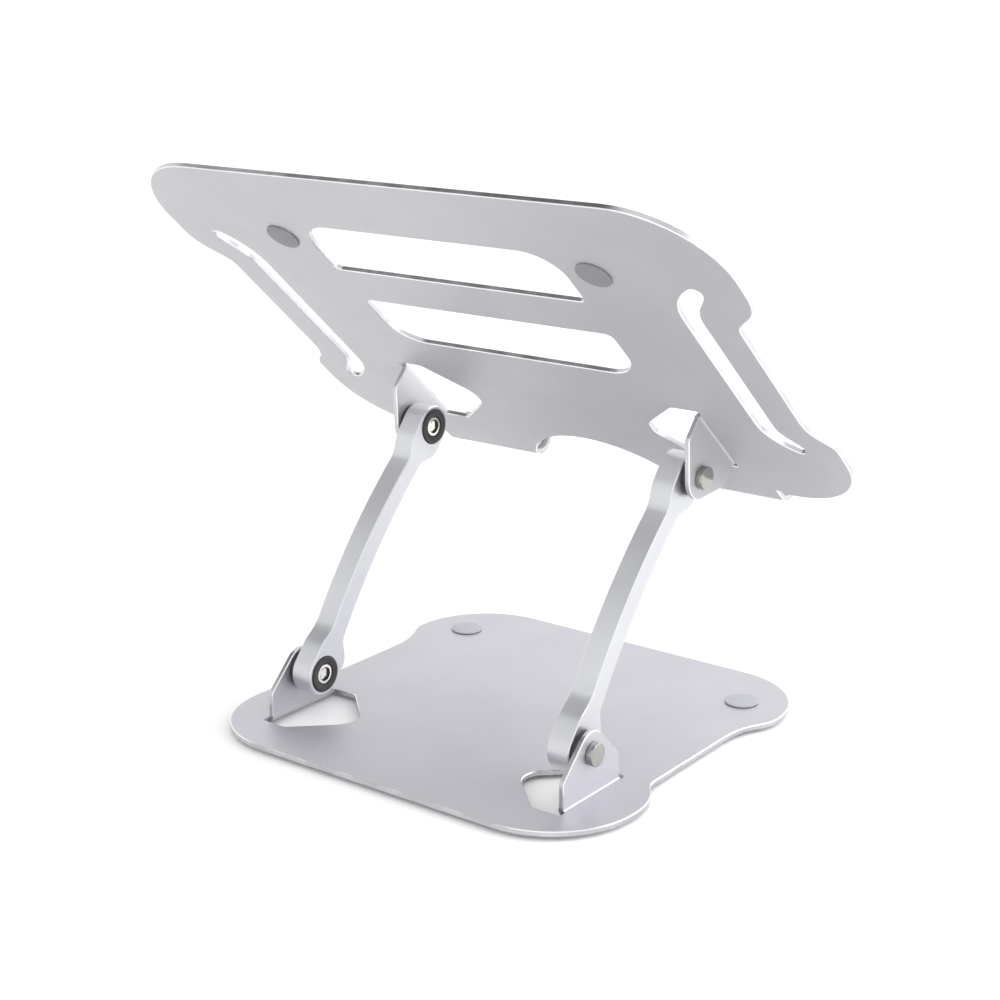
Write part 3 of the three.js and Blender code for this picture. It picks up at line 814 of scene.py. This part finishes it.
@dataclass
class PivotHardware:
    """The pieces of one pivot: pin, friction washer, cup washer, screw, disc spring and bushing."""

    nodes: dict[str, bpy.types.Object]
    finishes: Finishes
    pivot: Pivot
    side: Side
    pin_radius: float = 4.0 * MM
    pin_bore: float = 2.3 * MM
    pin_round: float = 0.2 * MM
    bore_end: float = 1.2 * MM
    head_height: float = 2.8 * MM
    head_bevel: float = 0.45 * MM
    washer_hole: float = 4.3 * MM
    washer_round: float = 0.35 * MM
    shank: float = 2.0 * MM
    shank_gap: float = 0.6 * MM
    well: float = 4.8 * MM
    cup_floor: float = 1.2 * MM
    cup_round: float = 0.45 * MM
    dish: float = 0.2 * MM
    dish_rim: float = 0.9 * MM
    dish_round: float = 0.15 * MM
    screw_head: float = 1.8 * MM
    screw_round: float = 0.4 * MM
    socket_flats: float = 2.55 * MM
    socket_mouth: float = 3.2 * MM
    socket_bevel: float = 0.1 * MM
    socket_lead: float = 0.35 * MM
    socket_depth: float = 1.0 * MM
    drill_point: float = 0.1 * MM

    def build(self) -> list[bpy.types.Object]:
        """Makes the pieces that show; the hidden ones are only dressed.

        Returns:
            The pieces made.
        """
        dress(self._node("disc_spring"), self.finishes.spring)
        dress(self._node("bushing"), self.finishes.bush)
        return [self._pin(), self._washer(), self._cup(), self._screw()]

    def _node(self, kind: str) -> bpy.types.Object:
        """This pivot's node of one kind."""
        return self.nodes[f"{kind}_{self.pivot.value}_{self.side.word}"]

    def _turned(
        self, kind: str, slot: Slot, shape: Turned, *materials: bpy.types.Material
    ) -> bpy.types.Object:
        """One piece of this pivot, its profile running from the middle of the stand outwards."""
        return turned_piece(self._node(kind), Vector((self.side.value, 0, 0)), slot, shape, *materials)

    def _half(self, kind: str) -> tuple[float, float]:
        """Half the node's length along the pivot line, and its radius."""
        low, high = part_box(self._node(kind).name)
        return (high.x - low.x) / 2, (high.y - low.y) / 2

    def _pin(self) -> bpy.types.Object:
        """Makes the headed pin, its bore open towards the middle of the stand.

        Returns:
            The pin.
        """
        half, head = self._half("pivot_pin")
        seat = half - self.head_height
        rows = [
            Row(seat - self.bore_end, 0),
            Row(seat - self.bore_end, self.pin_bore),
            Row(-half, self.pin_bore),
            Row(-half, self.pin_radius),
            Row(seat, self.pin_radius),
            Row(seat, head),
            Row(half, head),
            Row(half, 0),
        ]
        rows = softened(rows, {3: self.pin_round, 5: self.pin_round, 6: self.head_bevel})
        return self._turned("pivot_pin", Slot.NICKEL, Turned(rows), self.finishes.nickel)

    def _washer(self) -> bpy.types.Object:
        """Makes the friction washer between ear and arm.

        Returns:
            The washer.
        """
        half, radius = self._half("friction_washer")
        hole = self.washer_hole
        rows = [Row(-half, hole), Row(-half, radius), Row(half, radius), Row(half, hole)]
        rows = softened(rows, {1: self.washer_round, 2: self.washer_round})
        return self._turned("friction_washer", Slot.NYLON, Turned(rows), self.finishes.nylon)

    def _cup(self) -> bpy.types.Object:
        """Makes the black cup that takes the screw's head, its face slightly dished.

        Returns:
            The cup.
        """
        half, radius = self._half("cup_washer")
        hole = self.shank + self.shank_gap
        floor = half - self.cup_floor
        rows = [
            Row(-half + self.dish, self.well),
            Row(-half, radius - self.dish_rim),
            Row(-half, radius),
            Row(half, radius),
            Row(half, hole),
            Row(floor, hole),
            Row(floor, self.well),
        ]
        rows = softened(rows, {0: self.dish_round, 2: self.cup_round})
        return self._turned("cup_washer", Slot.NYLON, Turned(rows), self.finishes.nylon)

    def _screw(self) -> bpy.types.Object:
        """Makes the hexagon-socket screw, its head towards the middle of the stand.

        Returns:
            The screw.
        """
        half, radius = self._half("socket_screw")
        neck = -half + self.screw_head
        lead = -half + self.socket_lead
        floor = -half + self.socket_depth
        rim = soft_corner(Row(-half, 0), Row(-half, radius), Row(neck, radius), self.screw_round)
        rows = [
            Row(floor + self.drill_point, 0),
            Row(floor, self.socket_flats, hexagon=True),
            Row(lead, self.socket_flats, hexagon=True),
            Row(lead, self.socket_mouth - self.socket_bevel),
            Row(-half, self.socket_mouth),
            *rim,
            Row(neck, radius),
            Row(neck, self.shank),
            Row(half, self.shank),
            Row(half, 0),
        ]
        # The socket's walls take the near-black finish, which is painted shade in the recess.
        painted_shade_walls = range(1, 4)
        shape = Turned(rows, painted_shade_walls)
        return self._turned("socket_screw", Slot.NICKEL, shape, self.finishes.screw, self.finishes.socket)


def dress(node: bpy.types.Object, material: bpy.types.Material) -> None:
    """Gives a CAD node that stays a finish.

    Args:
        node: the CAD node.
        material: its finish.
    """
    for holder in node.material_slots:
        holder.link = "OBJECT"
        holder.material = material


@dataclass
class RoundPads:
    """The round rubber pads and feet: low discs with a soft rim and a faint dome."""

    nodes: dict[str, bpy.types.Object]
    finishes: Finishes
    tilt: Vector
    dome: float = 0.05 * MM
    rim_share: float = 0.45
    foot_round: float = 0.1 * MM
    pad_height: float = 0.8 * MM
    foot_height: float = 1.5 * MM

    def build(self) -> list[bpy.types.Object]:
        """Makes every pad and foot.

        Returns:
            The pieces made.
        """
        down = Vector((0, 0, -1))
        made = []
        # dark is the painted-shade copy of the grey rubber, for the pads and feet that face down.
        light, dark = self.finishes.rubber, self.finishes.shaded_rubber
        for side in Side:
            made.append(self._pad(f"base_pad_{side.word}", self.pad_height, -down, light))
            made.append(self._pad(f"platform_pad_{side.word}", self.pad_height, self.tilt, dark))
            for end in ("front", "rear"):
                made.append(self._pad(f"desk_foot_{end}_{side.word}", self.foot_height, down, dark))
        return made

    def _pad(self, name: str, height: float, out: Vector, rubber: bpy.types.Material) -> bpy.types.Object:
        """Makes one pad.

        Args:
            name: the CAD node's name.
            height: the pad's height.
            out: the way its soft rim faces.
            rubber: its finish.

        Returns:
            The pad.
        """
        low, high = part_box(name)
        radius = (high.x - low.x) / 2
        top = height / 2
        rows = [Row(-top, 0), Row(-top, radius), Row(top - self.dome, radius), Row(top, 0)]
        rows = softened(rows, {1: self.foot_round, 2: height * self.rim_share})
        return turned_piece(self.nodes[name], out, Slot.RUBBER, Turned(rows), rubber)


@dataclass
class Sheets:
    """The two bent plates. Each one's flat lies pad_lift below the middle of its pads."""

    nodes: dict[str, bpy.types.Object]
    finishes: Finishes
    tilt: Vector
    pad_lift: float = 0.65 * MM

    def build(self) -> list[bpy.types.Object]:
        """Makes the base plate and the platform plate.

        Returns:
            Both plates.
        """
        flat = Vector((0, 0, 1))
        made = []
        for name, up, pad, face in (
            ("base_plate", flat, "base_pad_left", self.finishes.base),
            ("platform_plate", self.tilt, "platform_pad_left", self.finishes.sheet),
        ):
            low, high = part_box(pad)
            zones = SheetZones(up, (low + high) / 2 - up * self.pad_lift)
            finishes = (face, self.finishes.edge, self.finishes.wall)
            made.append(CarriedPiece(self.nodes[name], Slot.SHEET, finishes, zones).build())
        return made


@dataclass
class Arms:
    """The two bowed arms."""

    nodes: dict[str, bpy.types.Object]
    finishes: Finishes

    def build(self) -> list[bpy.types.Object]:
        """Makes both arms.

        Returns:
            The arms.
        """
        finishes = (self.finishes.arm, self.finishes.arm_edge)
        names = [f"arm_{side.word}" for side in Side]
        return [CarriedPiece(self.nodes[name], Slot.ARM, finishes, arm_zones).build() for name in names]


@dataclass
class GripRubber:
    """The rubber that meets the laptop: four strips on the platform and a liner in each hook."""

    nodes: dict[str, bpy.types.Object]
    finishes: Finishes

    def build(self) -> list[bpy.types.Object]:
        """Makes every strip and liner.

        Returns:
            The pieces made.
        """
        kinds = ("grip_strip_front", "grip_strip_rear", "hook_liner")
        names = [f"{kind}_{side.word}" for kind in kinds for side in Side]
        finishes = (self.finishes.rubber,)
        pieces = [CarriedPiece(self.nodes[name], Slot.RUBBER, finishes, one_zone) for name in names]
        return [piece.build() for piece in pieces]


# ---------- stage ----------


def direction(azimuth: float, elevation: float) -> Vector:
    """The way out from the stand, in degrees; azimuth 0 is the user's side and 90 is the right side."""
    turn, lift = math.radians(azimuth), math.radians(elevation)
    return Vector((math.sin(turn) * math.cos(lift), -math.cos(turn) * math.cos(lift), math.sin(lift)))


@dataclass(frozen=True)
class SoftBox:
    """One soft, round light that faces the stand."""

    name: str
    azimuth: float
    elevation: float
    power: float
    size: float = 1.0
    distance: float = 1.6
    aim: float = 0.12

    def build(self) -> None:
        """Hangs the light."""
        away = direction(self.azimuth, self.elevation)
        data = bpy.data.lights.new(self.name, "AREA")
        data.shape = "DISK"
        data.size = self.size
        data.energy = self.power
        lamp = bpy.data.objects.new(self.name, data)
        lamp.location = Vector((0, 0, self.aim)) + away * self.distance
        lamp.rotation_euler = away.to_track_quat("Z", "Y").to_euler()
        bpy.context.scene.collection.objects.link(lamp)


@dataclass
class Studio:
    """A pale floor, a bright surround and soft lights."""

    floor_radius: float = 80.0
    floor_sides: int = 96
    floor_tone: float = 0.94
    floor_roughness: float = 0.9
    floor_gloss: float = 0.2
    sky: float = 1.2
    patch_azimuth: float = 108.0
    patch_elevation: float = 56.0
    patch_core: float = 8.0
    patch_rim: float = 26.0
    patch_depth: float = 0.82
    boxes: tuple[SoftBox, ...] = (
        SoftBox("front_left_box", azimuth=325, elevation=30, power=17.0, size=2.0),
        SoftBox("left_box", azimuth=285, elevation=25, power=3.5),
        SoftBox("low_rear_box", azimuth=200, elevation=8, power=5.0, size=0.6),
    )

    def build(self) -> None:
        """The floor, the surround and the lights."""
        self._colours()
        self._floor()
        self._surround()
        for box in self.boxes:
            box.build()

    def _colours(self) -> None:
        """Plain colour handling, so that a white surround shows white."""
        bpy.context.scene.view_settings.view_transform = "Standard"
        bpy.context.scene.view_settings.look = "None"

    def _floor(self) -> None:
        """A wide, pale, matt floor."""
        paint = Paint("pale_floor")
        tone = (self.floor_tone,) * 3
        paint.set(Base_Color=tone, Roughness=self.floor_roughness, Specular_IOR_Level=self.floor_gloss)
        points = [Vector((0, 0, 0))]
        sides = self.floor_sides
        for i in range(sides):
            turn = 2 * math.pi * i / sides
            points.append(Vector((math.cos(turn), math.sin(turn), 0)) * self.floor_radius)
        faces = [[0, i + 1, (i + 1) % sides + 1] for i in range(sides)]
        floor = bpy.data.objects.new("floor", shaded_mesh("floor", points, faces, (paint.material,)))
        bpy.context.scene.collection.objects.link(floor)

    def _surround(self) -> None:
        """A white surround with one soft dark patch for the metal to mirror.

        What looks straight at the surround sees plain white.
        """
        world = bpy.data.worlds.new("surround")
        bpy.context.scene.world = world
        world.use_nodes = True
        graph = Graph(world.node_tree)
        way = graph.node("ShaderNodeTexCoord", {}, {}, "Generated")
        towards = tuple(direction(self.patch_azimuth, self.patch_elevation))
        compare = {"operation": "DOT_PRODUCT"}
        closeness = graph.node("ShaderNodeVectorMath", compare, {0: way, 1: towards}, "Value")
        rim, core = math.cos(math.radians(self.patch_rim)), math.cos(math.radians(self.patch_core))
        patch = graph.rescale(closeness, (rim, core), (self.sky, self.sky * (1 - self.patch_depth)))
        seen = graph.node("ShaderNodeLightPath", {}, {}, "Is Camera Ray")
        plain_or_patch: Sockets = {"Factor": seen, "A": patch, "B": self.sky}
        strength = graph.node("ShaderNodeMix", {"data_type": "FLOAT"}, plain_or_patch)
        background = world.node_tree.nodes["Background"]
        graph.feed(background.inputs["Strength"], strength)
        background.inputs["Color"].default_value = (1.0, 1.0, 1.0, 1.0)


@dataclass
class Viewpoint:
    """A camera behind the stand and to the user's left, looking down a little."""

    heading: Vector = field(default_factory=lambda: Vector((0.577, -0.767, -0.283)).normalized())
    eye: Vector = field(default_factory=lambda: Vector((-0.4789, 0.6472, 0.339)))
    lens: float = 69.15
    sensor: float = 36.0
    nearest: float = 0.01
    farthest: float = 200.0

    def build(self) -> None:
        """The scene's camera."""
        data = bpy.data.cameras.new("camera")
        data.lens = self.lens
        data.sensor_width = self.sensor
        data.clip_start = self.nearest
        data.clip_end = self.farthest
        camera = bpy.data.objects.new("camera", data)
        camera.location = self.eye
        camera.rotation_euler = self.heading.to_track_quat("-Z", "Y").to_euler()
        bpy.context.scene.collection.objects.link(camera)
        bpy.context.scene.camera = camera


# ---------- the stand ----------


def report(name: str, pieces: list[bpy.types.Object]) -> None:
    """Logs what a sub-assembly made."""
    for piece in pieces:
        LOG.info("%s: %s, %d faces", name, piece.name, len(piece.data.polygons))


def main() -> None:
    """Builds the stand round its frame, then the studio and the camera."""
    logging.basicConfig(level=logging.INFO, format="%(message)s")
    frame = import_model()
    nodes = frame["nodes"]
    deck = next(m for m in frame["record"]["mounts"] if m["name"] == "laptop_deck")
    underside = -Vector(deck["axis"]).normalized()

    finishes = Finishes()
    report("sheet", Sheets(nodes, finishes, underside).build())
    report("arm", Arms(nodes, finishes).build())
    for pivot in Pivot:
        for side in Side:
            hardware = PivotHardware(nodes, finishes, pivot, side)
            report(f"{pivot.value} {side.word} pivot", hardware.build())
    report("pad", RoundPads(nodes, finishes, underside).build())
    report("grip", GripRubber(nodes, finishes).build())

    Studio().build()
    Viewpoint().build()


if __name__ == "__main__":
    main()
